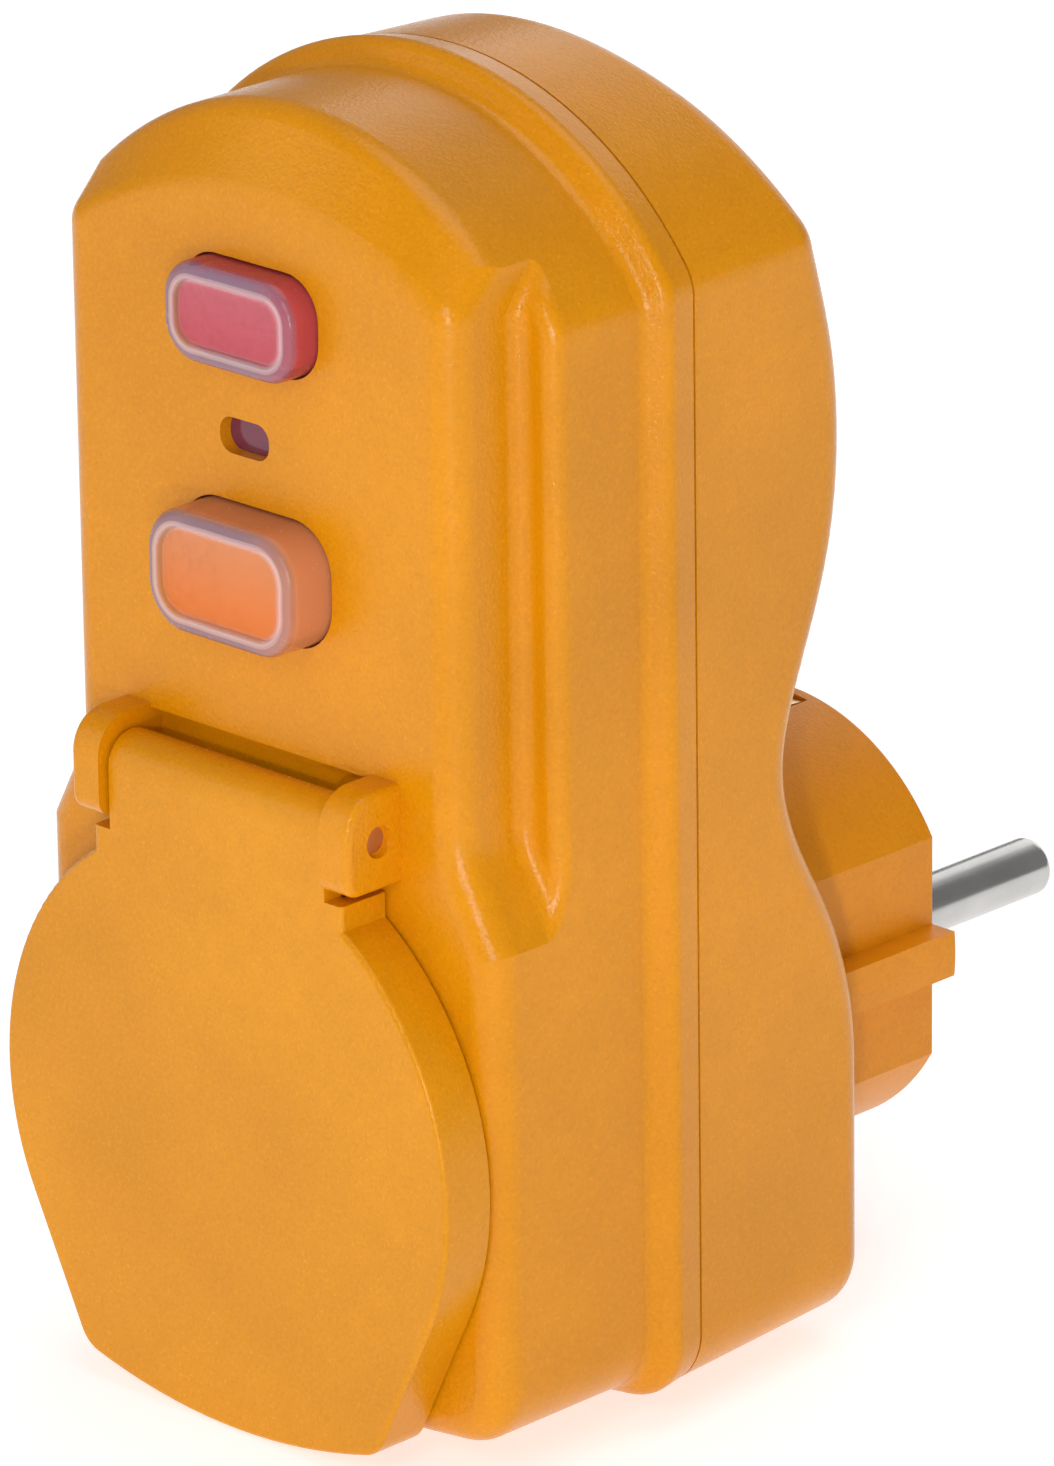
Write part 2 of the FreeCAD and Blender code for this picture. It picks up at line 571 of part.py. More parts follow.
def hinge_pin():
    return rod_x(HINGE_PIN_R, HINGE_Y, HINGE_Z, -EAR_OUT + 0.6, EAR_OUT - 0.6)


def button_cap(z, w, h, r, proud):
    """Soft cover with a retaining flange inside the wall, open at the back."""
    top, edge = FRONT_Y - proud, 2 * CAP_FLANGE
    cap = slot_prism(0, z, w, h, r, top, CAP_BACK_Y)
    cap = cap.makeFillet(CAP_ROUND, face_edges(cap, top))
    cap = fuse([cap, slot_prism(0, z, w + edge, h + edge, r + CAP_FLANGE, CAP_FLANGE_Y, CAP_BACK_Y)])
    return cap.cut(button_hollow(z, w, h, r, proud, 0))


def button_hollow(z, w, h, r, proud, gap):
    """Stepped block inside the cover: a narrower face, then a wider body that runs to the open back."""
    face = FRONT_Y - proud + CAP_FACE

    def block(wall, y0):
        wall += gap
        return slot_prism(0, z, w - 2 * wall, h - 2 * wall, r - wall, y0 + gap, CAP_BACK_Y)

    return fuse([block(CAP_RIM, face), block(CAP_WALL, face + CAP_RIM_DEPTH)])


def button_core(z, w, h, r, proud, stem_r, stem_y):
    """Coloured core under the cover, with its stem through the guide plate."""
    core = button_hollow(z, w, h, r, proud, 0.03)
    return fuse([core, rod_y(stem_r, 0, z, CAP_BACK_Y - 0.01, stem_y)])


def guide_plate():
    plate = box(-17.0, 17.0, GUIDE_Y, GUIDE_Y + GUIDE_T, 35.5, 69.0)
    plate = plate.common(outline_block(GUIDE_Y, GUIDE_T))
    holes = [(0, TEST_Z, 2.3), (0, RESET_Z, 2.8)] + [(x, z, 3.8) for x, z in SCREWS]
    for x, z, r in holes:
        plate = plate.cut(rod_y(r, x, z, GUIDE_Y - 1, GUIDE_Y + 3))
    return plate.cut(slot_prism(LAMP_X, LAMP_Z, LAMP_W, LAMP_H, LAMP_R, GUIDE_Y - 1, GUIDE_Y + 3))


def outline_block(y, thickness):
    return prism(grown(y, -WALL - 0.3), V(0, thickness, 0))


def indicator_lens():
    return slot_prism(LAMP_X, LAMP_Z, LAMP_W - 0.1, LAMP_H - 0.1, LAMP_R - 0.05, FRONT_Y + 1.1, -41.5)


def indicator_lamp():
    body = rod_y(1.4, LAMP_X, LAMP_Z, -40.0, BOARD_Y)
    return fuse([body, Part.makeSphere(1.4, V(LAMP_X, -40.0, LAMP_Z))])


def circuit_board():
    board = box(-20.0, 20.0, BOARD_Y, BOARD_Y + BOARD_T, 22.5, 66.0)
    for x, z in SCREWS:
        board = board.cut(rod_y(4.4, x, z, BOARD_Y - 1, BOARD_Y + 3))
    for x, z in BOARD_POSTS:
        board = board.cut(rod_y(1.0, x, z, BOARD_Y - 1, BOARD_Y + 3))
    return board


def board_screws():
    return Part.makeCompound([screw_y(x, z, BOARD_Y, 1.9, 1.2, 0.9, -31.2) for x, z in BOARD_POSTS])


def core_ring(r_out, r_in, y0, y1):
    return rod_y(r_out, 0, CORE_Z, y0, y1).cut(rod_y(r_in, 0, CORE_Z, y0 - 1, y1 + 1))


def transformer_core():
    return core_ring(9.0, 5.2, -33.4, -27.4)


def transformer_winding():
    """Turns of wire round two sectors of the core."""
    turns = []
    for i in range(9):
        for base in (0, 180):
            turn = core_ring(9.7, 4.5, -34.1, -26.7).cut(core_ring(9.05, 5.15, -33.45, -27.35))
            wedge = box(4.0, 10.5, -35, -26, CORE_Z - 0.45, CORE_Z + 0.45)
            wedge.rotate(V(0, 0, CORE_Z), V(0, 1, 0), base + (i - 4) * 11.5)
            turns.append(turn.common(wedge))
    return Part.makeCompound(turns)


def fixed_contact(side):
    return rod_y(1.6, side * 7.0, RESET_Z, BOARD_Y - 1.2, BOARD_Y)


def contact_carriage():
    """Moulded slide that carries the moving contacts, pushed by the reset stem."""
    block = box(-7.5, 7.5, -45.2, -42.0, RESET_Z - 3, RESET_Z + 3)
    return block.cut(rod_y(2.6, 0, RESET_Z, -43.0, -41.0))


def moving_contact(side):
    x = side * 7.0
    blade = box(x - 1.8, x + 1.8, -42.0, -41.4, RESET_Z - 2.4, RESET_Z + 2.4)
    return fuse([blade, rod_y(1.5, x, RESET_Z, -41.41, BOARD_Y - 1.2 - GAP - RESET_TRAVEL)])


def test_contact():
    """Post with a flat blade that the test stem bends onto its pad."""
    z = TEST_Z - 0.5
    post = box(8.0, 10.5, -45.2, BOARD_Y, z - 2.0, z + 2.0)
    return fuse([post, box(-3.0, 8.01, -45.2, -44.7, z - 1.5, z + 1.5)])


def trip_frame():
    """Steel bracket round the trip coil with a bore for the plunger."""
    y0, y1, z0, z1 = -49.0, BOARD_Y, 24.4, 34.2
    frame = box(-12.6, 2.6, y0, y1, z0, z1).cut(box(-11.4, 1.4, y0 - 1, y1 + 1, z0 + 1.2, z1 + 1))
    return frame.cut(rod_x(TRIP_BORE_R, TRIP_Y, TRIP_Z, -20, 10))


def trip_coil():
    spool = rod_x(3.75, TRIP_Y, TRIP_Z, -11.3, 1.3).cut(rod_x(3.0, TRIP_Y, TRIP_Z, -10.3, 0.3))
    winding = rod_x(3.5, TRIP_Y, TRIP_Z, -10.3, 0.3)
    whole = fuse([spool, winding])
    return whole.cut(rod_x(TRIP_BORE_R, TRIP_Y, TRIP_Z, -12, 3))


def trip_plunger():
    """Core of the coil with a neck through the lever's fork and a head beyond it."""
    return fuse([rod_x(1.9, TRIP_Y, TRIP_Z, -4.0, 2.6), rod_x(1.1, TRIP_Y, TRIP_Z, 2.5, 11.5),
                 rod_x(2.3, TRIP_Y, TRIP_Z, 6.9, 7.5), rod_x(2.6, TRIP_Y, TRIP_Z, 11.4, 12.2)])


def latch_lever():
    """Forked lever on a fixed pivot: the plunger draws its foot, and its nose leaves the carriage."""
    x, z = LATCH_X, LATCH_Z
    arm = box(x - 0.8, x + 0.8, -45.6, -42.4, z - 5.0, z + 7.5)
    foot = box(x - 0.8, x + 0.8, -46.6, -41.4, z - 10.0, z - 4.9)
    foot = foot.cut(box(x - 1, x + 1, -45.7, -42.3, z - 11.0, z - 5.4))
    nose = box(x - 1.6, x - 0.79, -45.6, -43.4, z + 5.4, z + 7.5)
    whole = fuse([arm, foot, nose, rod_y(2.0, x, z, -45.6, -42.4)])
    return whole.cut(rod_y(LATCH_PIN_R + 0.05, x, z, -47, -41))


def latch_pivot():
    pin = rod_y(LATCH_PIN_R, LATCH_X, LATCH_Z, -46.2, BOARD_Y)
    return fuse([pin, rod_y(1.8, LATCH_X, LATCH_Z, -46.7, -46.0),
                 rod_y(1.8, LATCH_X, LATCH_Z, -42.0, BOARD_Y)])


def socket_shutter():
    """Sliding plate that closes the pin holes, with ramps on its upper edge."""
    z = SOCKET_Z
    plate = box(-12.6, 12.6, FLOOR_BACK_Y + GAP, FLOOR_BACK_Y + GAP + 1.0, z - 3.0, z + 3.0)
    return plate.cut(box(-5.0, 5.0, FLOOR_BACK_Y, FLOOR_BACK_Y + 3, z + 0.8, z + 4))


def shutter_spring():
    return coil(1.0, 0.2, 1.08, 10, (8.0, FLOOR_BACK_Y + 1.6, -15.9), (0, 0, 1))


def control_chip():
    body = box(-14.0, -6.5, BOARD_Y - 2.0, BOARD_Y - 0.2, 53.0, 57.8)
    legs = [box(-13.6 + 1.9 * i, -13.2 + 1.9 * i, BOARD_Y - 0.8, BOARD_Y, z0, z0 + 1.0)
            for i in range(4) for z0 in (52.2, 57.6)]
    return fuse([body] + legs)


def filter_capacitor():
    can = rod_y(4.0, 10.5, 52.5, -46.0, BOARD_Y - 0.4)
    legs = [rod_y(0.3, 10.5 + dx, 52.5, BOARD_Y - 0.41, BOARD_Y) for dx in (-1.8, 1.8)]
    return fuse([can] + legs)


def surge_varistor():
    disc = rod_x(4.6, -41.9, 41.5, -14.8, -11.4)
    legs = [rod_y(0.4, -13.1, 41.5 + dz, -39.0, BOARD_Y) for dz in (-2.5, 2.5)]
    return fuse([disc] + legs)


def test_resistor():
    body = rod_x(1.5, -39.4, 61.5, -9.5, -1.5)
    ends = [fuse([rod_x(0.35, -39.4, 61.5, x0, x1), rod_y(0.35, x, 61.5, -39.4, BOARD_Y)])
            for x0, x1, x in ((-10.8, -9.4, -10.8), (-1.6, -0.2, -0.2))]
    return fuse([body] + ends)


def pair(make):
    return Part.makeCompound([make(-1), make(1)])


NODES = {
    "front_housing": front_housing, "rear_housing": rear_housing, "housing_seal": housing_seal,
    "housing_screws": housing_screws, "plug_body": plug_body,
    "plug_pin_line": lambda: plug_pin(-1), "plug_pin_neutral": lambda: plug_pin(1),
    "plug_earth_contacts": lambda: pair(plug_earth_contact),
    "socket_insert": socket_insert, "socket_earth_clips": lambda: pair(socket_earth_clip),
    "earth_bridge": earth_bridge, "socket_contact_line": lambda: socket_contact(-1),
    "socket_contact_neutral": lambda: socket_contact(1),
    "supply_conductors": lambda: pair(supply_conductor),
    "outlet_conductors": lambda: pair(outlet_conductor),
    "socket_shutter": socket_shutter, "shutter_spring": shutter_spring,
    "lid": lid, "lid_gasket": lid_gasket, "lid_hinge_pin": hinge_pin, "lid_spring": lid_spring,
    "test_cap": lambda: button_cap(*TEST),
    "test_button": lambda: button_core(*TEST, 2.0, -46.8),
    "test_spring": lambda: coil(3.0, 0.3, 1.2, 5, (0, FRONT_Y + WALL + 1.8, TEST_Z), (0, 1, 0)),
    "reset_cap": lambda: button_cap(*RESET),
    "reset_button": lambda: button_core(*RESET, 2.5, -45.6),
    "reset_spring": lambda: coil(3.6, 0.35, 1.2, 5, (0, FRONT_Y + WALL + 1.85, RESET_Z), (0, 1, 0)),
    "button_guide": guide_plate, "indicator_lens": indicator_lens, "indicator_lamp": indicator_lamp,
    "circuit_board": circuit_board, "board_screws": board_screws,
    "transformer_core": transformer_core, "transformer_winding": transformer_winding,
    "fixed_contacts": lambda: pair(fixed_contact), "contact_carriage": contact_carriage,
    "moving_contacts": lambda: pair(moving_contact),
    "carriage_spring": lambda: coil(2.0, 0.25, 1.1, 5, (0, -42.7, RESET_Z), (0, 1, 0)),
    "test_contact": test_contact,
    "trip_frame": trip_frame, "trip_coil": trip_coil, "trip_plunger": trip_plunger,
    "trip_spring": lambda: coil(1.7, 0.25, 0.75, 5, (2.9, TRIP_Y, TRIP_Z), (1, 0, 0)),
    "latch_lever": latch_lever, "latch_pivot": latch_pivot,
    "control_chip": control_chip, "filter_capacitor": filter_capacitor,
    "surge_varistor": surge_varistor, "test_resistor": test_resistor,
}

os.makedirs("parts", exist_ok=True)
for name, make in NODES.items():
    shape = make()
    shape.exportStep("parts/" + name + ".step")
    print(name, shape.isValid(), len(shape.Solids), round(shape.Volume, 1))
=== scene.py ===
"""Looks for the plug-in residual-current adapter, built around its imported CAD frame."""
import json
import math

import bpy
from mathutils import Matrix, Vector


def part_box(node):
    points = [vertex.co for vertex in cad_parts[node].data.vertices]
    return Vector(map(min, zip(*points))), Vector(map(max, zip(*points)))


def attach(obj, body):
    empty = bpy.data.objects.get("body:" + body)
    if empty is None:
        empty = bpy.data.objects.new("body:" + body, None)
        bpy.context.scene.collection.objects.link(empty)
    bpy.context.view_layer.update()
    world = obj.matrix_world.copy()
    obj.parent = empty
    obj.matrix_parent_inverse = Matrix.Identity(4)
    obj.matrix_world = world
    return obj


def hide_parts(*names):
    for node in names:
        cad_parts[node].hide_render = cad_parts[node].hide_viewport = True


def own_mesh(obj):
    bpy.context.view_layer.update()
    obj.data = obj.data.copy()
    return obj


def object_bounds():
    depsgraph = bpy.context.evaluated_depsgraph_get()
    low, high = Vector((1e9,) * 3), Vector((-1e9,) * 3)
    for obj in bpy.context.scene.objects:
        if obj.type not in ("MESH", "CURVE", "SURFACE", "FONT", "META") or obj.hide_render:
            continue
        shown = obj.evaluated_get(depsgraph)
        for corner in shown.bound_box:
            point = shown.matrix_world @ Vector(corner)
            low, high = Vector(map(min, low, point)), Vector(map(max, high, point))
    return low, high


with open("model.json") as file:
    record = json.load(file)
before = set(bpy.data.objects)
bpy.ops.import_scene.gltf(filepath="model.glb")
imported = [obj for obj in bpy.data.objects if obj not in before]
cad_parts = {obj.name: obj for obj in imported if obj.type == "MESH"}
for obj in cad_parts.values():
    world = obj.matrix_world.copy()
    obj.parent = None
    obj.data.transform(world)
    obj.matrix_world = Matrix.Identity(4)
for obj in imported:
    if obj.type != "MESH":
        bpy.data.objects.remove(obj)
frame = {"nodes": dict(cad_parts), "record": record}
cad_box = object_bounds()
nodes = frame["nodes"]
SLOT_OF = {part["node"]: part["material_slot"] for part in frame["record"]["subparts"]}
MM = 0.001


# ---------------------------------------------------------------- node helpers
class Graph:
    """A small helper that adds and links the nodes of one material."""

    def __init__(self, name):
        self.material = bpy.data.materials.new(name)
        self.material.use_nodes = True
        self.tree = self.material.node_tree
        self.shader = self.tree.nodes["Principled BSDF"]
        self.position = self.add("ShaderNodeTexCoord").outputs["Object"]

    def add(self, kind, inputs=None, **settings):
        node = self.tree.nodes.new(kind)
        for key, value in settings.items():
            setattr(node, key, value)
        for key, value in (inputs or {}).items():
            self.put(node.inputs[key], value)
        return node

    def put(self, socket, value):
        """Link an output to the socket, or set the socket's own value."""
        if isinstance(value, bpy.types.NodeSocket):
            self.tree.links.new(value, socket)
        else:
            socket.default_value = value

    def noise(self, scale, detail=2.0, roughness=0.5, vector=None):
        """Noise in the object's own space; scale is in cells per metre."""
        inputs = {"Vector": vector or self.position, "Scale": scale,
                  "Detail": detail, "Roughness": roughness}
        return self.add("ShaderNodeTexNoise", inputs).outputs["Fac"]

    def spread(self, value, low, high, from_low=0.3, from_high=0.7):
        """Map from_low..from_high onto low..high, clamped; noise mostly lies in 0.3..0.7."""
        inputs = {"Value": value, "From Min": from_low, "From Max": from_high,
                  "To Min": low, "To Max": high}
        return self.add("ShaderNodeMapRange", inputs).outputs["Result"]

    def math(self, operation, a, b=0.0):
        return self.add("ShaderNodeMath", {0: a, 1: b}, operation=operation).outputs[0]

    def mix(self, factor, a, b):
        """Blend two colours; inputs 0, 6 and 7 are the factor and the two colours."""
        node = self.add("ShaderNodeMix", {0: factor, 6: a, 7: b}, data_type="RGBA")
        return node.outputs[2]

    def bump(self, height, strength, distance):
        inputs = {"Height": height, "Strength": strength, "Distance": distance}
        return self.add("ShaderNodeBump", inputs).outputs["Normal"]

    def set(self, **values):
        """Set the shader's sockets; an underscore in a name stands for a space."""
        for key, value in values.items():
            self.put(self.shader.inputs[key.replace("_", " ")], value)
        return self.material


def rgb(color, factor=1.0):
    """A colour socket's value, made brighter or darker by factor."""
    return (*[min(1, c * factor) for c in color], 1.0)


# ---------------------------------------------------------------- surfaces
FLOW_SCALE = 38.0                 # slow shading from the melt's flow
STAIN_SCALE = 160.0               # dull patches on metal
SKIN_SCALE = 1500.0               # fine ripple of the clear covers
SCRATCH_DEPTH = 0.004 * MM
SKIN_DEPTH = 0.01 * MM
TARNISH = 0.15
DEEP_PIT = 2.4                    # how much darker a pit is than the plain tint

CAP_FLANGE = 1.1 * MM             # hidden flange of a button cover beyond its visible outline
CAP_RIM = 1.45 * MM               # width of the thick rim round a cover's thin face
CAP_HIGHLIGHT = (0.84, 0.66, 0.68)     # light caught by the inner edge of the rim
CAP_CLEAR = 0.17                  # opacity of the thin face
CAP_WALL_CLEAR = 0.62             # opacity of the side wall


def moulded(name, color, roughness=0.22, grain=3300.0, depth=0.055, tint=0.12,
            gloss_level=0.27, **extra):
    """Moulded plastic with a fine spark-eroded texture, faint flow shading and uneven gloss."""
    g = Graph(name)
    fine = g.noise(grain, 2.0, 0.6)
    coarse = g.noise(grain * 0.42, 1.0)
    flow = g.noise(FLOW_SCALE, 3.0, 0.55)
    mottle = g.noise(grain * 0.2, 2.0, 0.6)
    dark, light = rgb(color, 1 - tint), rgb(color, 1 + tint)
    shade = g.mix(g.spread(flow, 0, 1), dark, light)
    shade = g.mix(g.spread(mottle, 0.0, 0.35), shade, dark)
    shade = g.mix(g.spread(fine, 0.0, 0.55, 0.52, 0.72), shade, light)
    shade = g.mix(g.spread(fine, 0.30, 0.0, 0.30, 0.45), shade, rgb(color, 1 - DEEP_PIT * tint))
    gloss = g.math("ADD", g.spread(fine, -0.06, 0.06),
                   g.spread(flow, roughness - 0.03, roughness + 0.03))
    height = g.math("ADD", fine, g.math("MULTIPLY", coarse, 0.4))
    return g.set(Base_Color=shade, Roughness=gloss, Normal=g.bump(height, 0.8, depth * MM),
                 Specular_IOR_Level=gloss_level, **extra)


def metal(name, color, roughness, brushed=(1, 1, 1), scratch=900.0):
    """Metal with drawn or tumbled marks; brushed stretches the marks along an axis."""
    g = Graph(name)
    stretched = g.add("ShaderNodeMapping", {"Vector": g.position, "Scale": brushed})
    marks = g.noise(scratch, 4.0, 0.6, stretched.outputs["Vector"])
    stain = g.noise(STAIN_SCALE, 3.0, 0.6)
    return g.set(Base_Color=g.mix(g.spread(stain, 0, 1), rgb(color, 1 - TARNISH), rgb(color)),
                 Metallic=1.0,
                 Roughness=g.math("ADD", g.spread(marks, -0.06, 0.08), roughness),
                 Normal=g.bump(marks, 0.35, SCRATCH_DEPTH))


def rim_depth(g, axes, low, high, radius):
    """Distance inwards from a cover's rounded outline, seen along the press axis."""
    half_w = (high[0] - low[0]) / 2 - CAP_FLANGE
    half_h = (high[2] - low[2]) / 2 - CAP_FLANGE
    across = g.math("SUBTRACT", g.math("ABSOLUTE", axes["X"]), half_w - radius)
    raised = g.math("SUBTRACT", axes["Z"], (low[2] + high[2]) / 2)
    upward = g.math("SUBTRACT", g.math("ABSOLUTE", raised), half_h - radius)
    corner = g.add("ShaderNodeCombineXYZ", {"X": g.math("MAXIMUM", across),
                                            "Y": g.math("MAXIMUM", upward)}).outputs[0]
    length = g.add("ShaderNodeVectorMath", {0: corner}, operation="LENGTH").outputs["Value"]
    inside = g.math("MINIMUM", g.math("MAXIMUM", across, upward), 0.0)
    depth = g.math("SUBTRACT", radius, g.math("ADD", length, inside))
    wobble = g.math("MULTIPLY", g.spread(g.noise(170.0, 2.0), -1, 1), 0.04 * MM)
    return g.math("ADD", depth, wobble)


def cover(name, node, radius, rim, pane, deep, wall):
    """Clear elastomer cover: nearly clear in the middle, milky at its rim and side walls, with a
    painted highlight line along the rim's inner edge.
    """
    low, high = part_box(node)
    half_w = (high[0] - low[0]) / 2 - CAP_FLANGE
    height = high[2] - low[2]
    g = Graph(name)
    axes = g.add("ShaderNodeSeparateXYZ", {"Vector": g.position}).outputs
    depth = rim_depth(g, axes, low, high, radius)
    front = g.spread(axes["Y"], 1, 0, low[1] + 0.35 * MM, low[1] + 0.75 * MM)
    ring = g.math("MULTIPLY", g.spread(depth, 0.35, 1, 0.05 * MM, 0.35 * MM),
                  g.spread(depth, 1, 0, 0.60 * CAP_RIM, 0.85 * CAP_RIM))
    # painted highlight: a pale line where the inner edge of the rim catches the light
    highlight_line = g.math("MULTIPLY", g.spread(depth, 0, 1, 0.55 * CAP_RIM, 0.75 * CAP_RIM),
                  g.spread(depth, 1, 0, 0.80 * CAP_RIM, 1.25 * CAP_RIM))
    rise = g.spread(axes["Z"], 0, 1, low[2] + 0.30 * height, low[2] + 0.75 * height)
    tone = g.mix(rise, rgb(deep), rgb(pane))
    fade = g.spread(axes["X"], 0.0, 0.55, 0.35 * half_w, half_w)
    face = g.mix(ring, tone, g.mix(fade, rgb(rim), rgb(wall)))
    face = g.mix(highlight_line, face, rgb(CAP_HIGHLIGHT))
    milk = g.math("MAXIMUM", g.math("ADD", g.math("MULTIPLY", ring, 0.55), CAP_CLEAR),
                  g.math("MULTIPLY", highlight_line, 0.50))
    side = g.math("MULTIPLY", g.math("SUBTRACT", 1.0, front), CAP_WALL_CLEAR)
    skin = g.noise(SKIN_SCALE, 2.0)
    return g.set(Base_Color=g.mix(front, rgb(wall), face),
                 Alpha=g.math("ADD", g.math("MULTIPLY", front, milk), side),
                 Roughness=g.spread(skin, 0.16, 0.28),
                 Normal=g.bump(skin, 0.2, SKIN_DEPTH), IOR=1.42)


def board(name):
    """Green laminate with a paler grid under its lacquer."""
    g = Graph(name)
    cells = g.add("ShaderNodeTexBrick", {
        "Vector": g.position, "Scale": 260.0, "Mortar Size": 0.03,
        "Color1": rgb((0.03, 0.17, 0.07)), "Color2": rgb((0.04, 0.21, 0.09)),
        "Mortar": rgb((0.10, 0.32, 0.14))})
    weave = g.noise(1800.0, 2.0)
    return g.set(Base_Color=cells.outputs["Color"], Roughness=g.spread(weave, 0.22, 0.34),
                 Normal=g.bump(weave, 0.2, SKIN_DEPTH), Coat_Weight=0.5)


# Each row is one material slot of the record, with the arguments of the function it is made by.
LOOKS = {
    moulded: {
        "orange_housing": dict(color=(0.695, 0.258, 0.001)),
        "orange_lid": dict(color=(0.685, 0.262, 0.001)),
        "orange_plug": dict(color=(0.69, 0.243, 0.002), roughness=0.36),
        "orange_insert": dict(color=(0.73, 0.262, 0.002), roughness=0.38, depth=0.05),
        "black_rubber": dict(color=(0.022, 0.022, 0.024), roughness=0.62, grain=1800.0),
        "white_plastic": dict(color=(0.72, 0.71, 0.67), roughness=0.45, grain=2000.0),
        "black_plastic": dict(color=(0.028, 0.028, 0.031), roughness=0.40, grain=1600.0),
        "lens_plastic": dict(color=(0.17, 0.030, 0.055), roughness=0.10, grain=900.0,
                             depth=0.004, tint=0.15, gloss_level=0.35,
                             Coat_Weight=0.25, Coat_Roughness=0.05),
        "lamp_red": dict(color=(0.55, 0.03, 0.03), roughness=0.15, grain=900.0,
                         depth=0.004, tint=0.15),
        "ferrite": dict(color=(0.06, 0.065, 0.07), roughness=0.55, grain=1500.0),
        "blue_ceramic": dict(color=(0.05, 0.15, 0.50), grain=700.0, depth=0.01, tint=0.3),
        "test_red": dict(color=(0.84, 0.02, 0.045), roughness=0.30, grain=1600.0, depth=0.01),
        "reset_orange": dict(color=(0.95, 0.25, 0.02), roughness=0.30, grain=1600.0, depth=0.01),
    },
    metal: {
        "nickel": dict(color=(0.60, 0.59, 0.575), roughness=0.22, brushed=(1, 0.05, 1),
                       scratch=1400.0),
        "zinc_steel": dict(color=(0.60, 0.61, 0.62), roughness=0.32),
        "spring_steel": dict(color=(0.50, 0.50, 0.52), roughness=0.28),
        "spring_brass": dict(color=(0.78, 0.58, 0.26), roughness=0.26, brushed=(1, 0.1, 1)),
        "hinge_brass": dict(color=(0.62, 0.36, 0.20), roughness=0.34, brushed=(0.1, 1, 1)),
        "contact_silver": dict(color=(0.84, 0.83, 0.80), roughness=0.24),
        "copper_wire": dict(color=(0.72, 0.30, 0.14), roughness=0.27),
    },
    board: {"board_green": {}},
    cover: {
        "clear_test_cover": dict(node="test_cap", radius=3.2 * MM, rim=(0.27, 0.18, 0.26),
                                 pane=(0.50, 0.30, 0.36), deep=(0.50, 0.20, 0.24),
                                 wall=(0.60, 0.085, 0.09)),
        "clear_reset_cover": dict(node="reset_cap", radius=3.8 * MM, rim=(0.27, 0.19, 0.24),
                                  pane=(0.66, 0.38, 0.22), deep=(0.78, 0.22, 0.03),
                                  wall=(0.78, 0.31, 0.14)),
    },
}
materials = {slot: make(slot, **look) for make, rows in LOOKS.items() for slot, look in rows.items()}

for node_name, obj in nodes.items():
    obj.data.materials.clear()
    obj.data.materials.append(materials[SLOT_OF[node_name]])


# ---------------------------------------------------------------- springs copied onto the housing
X, Y, Z = range(3)
LOW_END, HIGH_END = range(2)
SPRINGS = {                       # node: joint, axis, fixed end, travel of the other end
    "test_spring": ("test_press", Y, HIGH_END, 1.2 * MM),
    "reset_spring": ("reset_press", Y, HIGH_END, 2.5 * MM),
    "carriage_spring": ("reset_press", Y, HIGH_END, 2.5 * MM),
    "trip_spring": ("trip_slide", X, LOW_END, 1.5 * MM),
    "shutter_spring": ("shutter_slide", Z, LOW_END, 6.2 * MM),
}


def coil(node, joint, along, fixed, travel):
    """A copy of the compression spring's mesh, attached to the housing in place of its CAD part."""
    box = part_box(node)
    low, high = box
    anchor = [(a + b) / 2 for a, b in zip(low, high)]
    anchor[along] = box[fixed][along]
    piece = bpy.data.objects.new(node + "_coil", nodes[node].data.copy())
    bpy.context.scene.collection.objects.link(piece)
    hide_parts(node)
    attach(piece, "housing")
    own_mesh(piece)


for spring, values in SPRINGS.items():
    coil(spring, *values)


# ---------------------------------------------------------------- floor, lights and camera
FLOOR_SIZE = 12.0
FLOOR_GAP = 0.2 * MM              # below the object's lowest point
MIDDLE = Vector((0, -0.030, 0.025))
LAMP_REACH = 1.1                  # distance of the small lamps
WORLD_STRENGTH = 0.25
LAMPS = {                         # name: place from MIDDLE, side of the square, watts
    "key": (LAMP_REACH * Vector((0.70, -0.71, -0.02)), 0.05, 1.7),
    "edge_high": (LAMP_REACH * Vector((0.636, -0.74, 0.21)), 0.05, 2.4),
    "crown_light": (LAMP_REACH * Vector((0.40, -0.72, 0.545)), 0.3, 1.9),
    "front_left": (Vector((-0.75, -1.0, 0.45)), 0.9, 2.7),
    "right_fill": (Vector((1.15, -0.15, 0.40)), 0.9, 0.3),
    "top": (Vector((0.1, 0.1, 1.15)), 0.9, 4.6),
    "rear": (Vector((-0.5, 1.2, 0.55)), 1.0, 3.4),
}
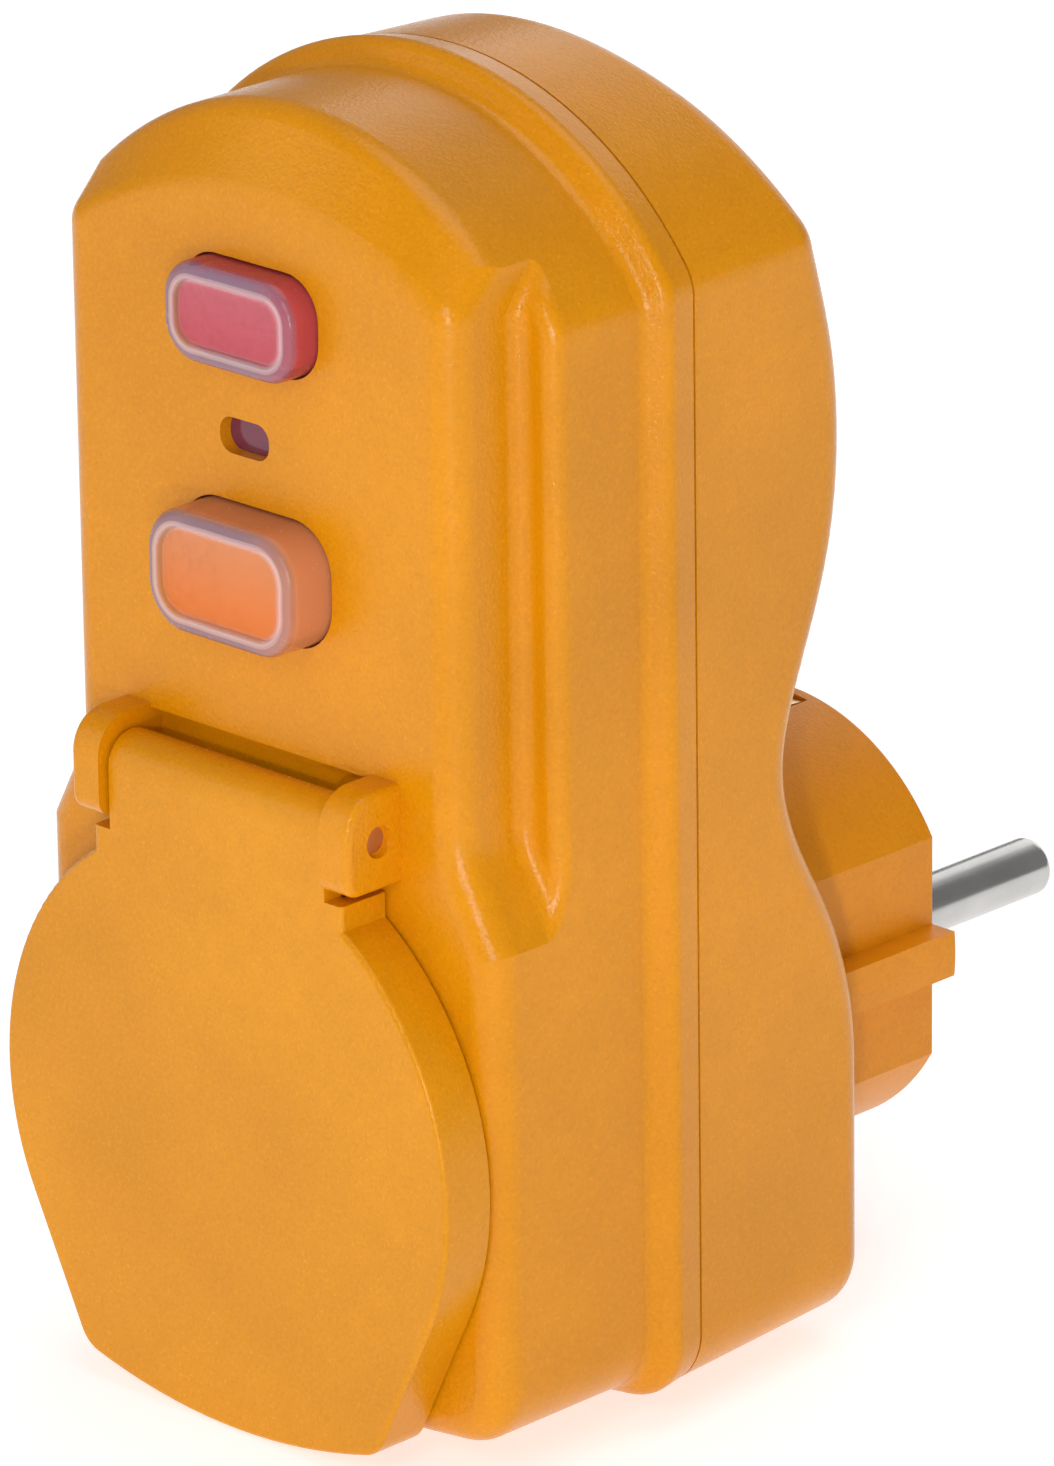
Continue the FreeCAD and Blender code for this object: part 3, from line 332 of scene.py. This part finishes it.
AZIMUTH, ELEVATION, ROLL = [math.radians(angle) for angle in (44.471, 19.917, -0.748)]
CAMERA_TARGET = Vector((0, -0.030, 0.022208))
CAMERA_DISTANCE = 0.8
LENS, SENSOR = 250.8, 36.0        # millimetres


def camera():
    sa, ca = math.sin(AZIMUTH), math.cos(AZIMUTH)
    se, ce = math.sin(ELEVATION), math.cos(ELEVATION)
    sr, cr = math.sin(ROLL), math.cos(ROLL)
    level = Vector((ca, sa, 0))
    upright = Vector((-sa * se, ca * se, ce))
    back = level.cross(upright)
    right = cr * level + sr * upright
    up = cr * upright - sr * level
    data = bpy.data.cameras.new("camera")
    data.sensor_width = SENSOR
    data.lens = LENS
    data.clip_start = 0.01
    cam = bpy.data.objects.new("camera", data)
    turn = Matrix((right, up, back)).transposed().to_4x4()
    cam.matrix_world = Matrix.Translation(CAMERA_TARGET + back * CAMERA_DISTANCE) @ turn
    bpy.context.scene.collection.objects.link(cam)
    bpy.context.scene.camera = cam


def floor():
    height = cad_box[0][2] - FLOOR_GAP
    bpy.ops.mesh.primitive_plane_add(size=FLOOR_SIZE, location=(0, 0, height))
    plane = bpy.context.object
    plane.name = "floor"
    g = Graph("pale_floor")
    plane.data.materials.append(
        g.set(Base_Color=rgb((0.66, 0.66, 0.66)), Roughness=0.6, Specular_IOR_Level=0.2,
              Emission_Color=rgb((1, 1, 1)), Emission_Strength=0.62))


def lamp(name, offset, size, power):
    """A square soft lamp aimed at the middle of the object."""
    data = bpy.data.lights.new(name, "AREA")
    data.energy = power
    data.size = size
    light = bpy.data.objects.new(name, data)
    light.location = MIDDLE + offset
    light.rotation_euler = (-offset).to_track_quat("-Z", "Y").to_euler()
    bpy.context.scene.collection.objects.link(light)


camera()
floor()
for lamp_name, values in LAMPS.items():
    lamp(lamp_name, *values)

world = bpy.data.worlds.new("studio")
bpy.context.scene.world = world
world.use_nodes = True
background = world.node_tree.nodes["Background"].inputs
background["Color"].default_value = (1, 1, 1, 1)
background["Strength"].default_value = WORLD_STRENGTH
bpy.context.scene.view_settings.view_transform = "Standard"
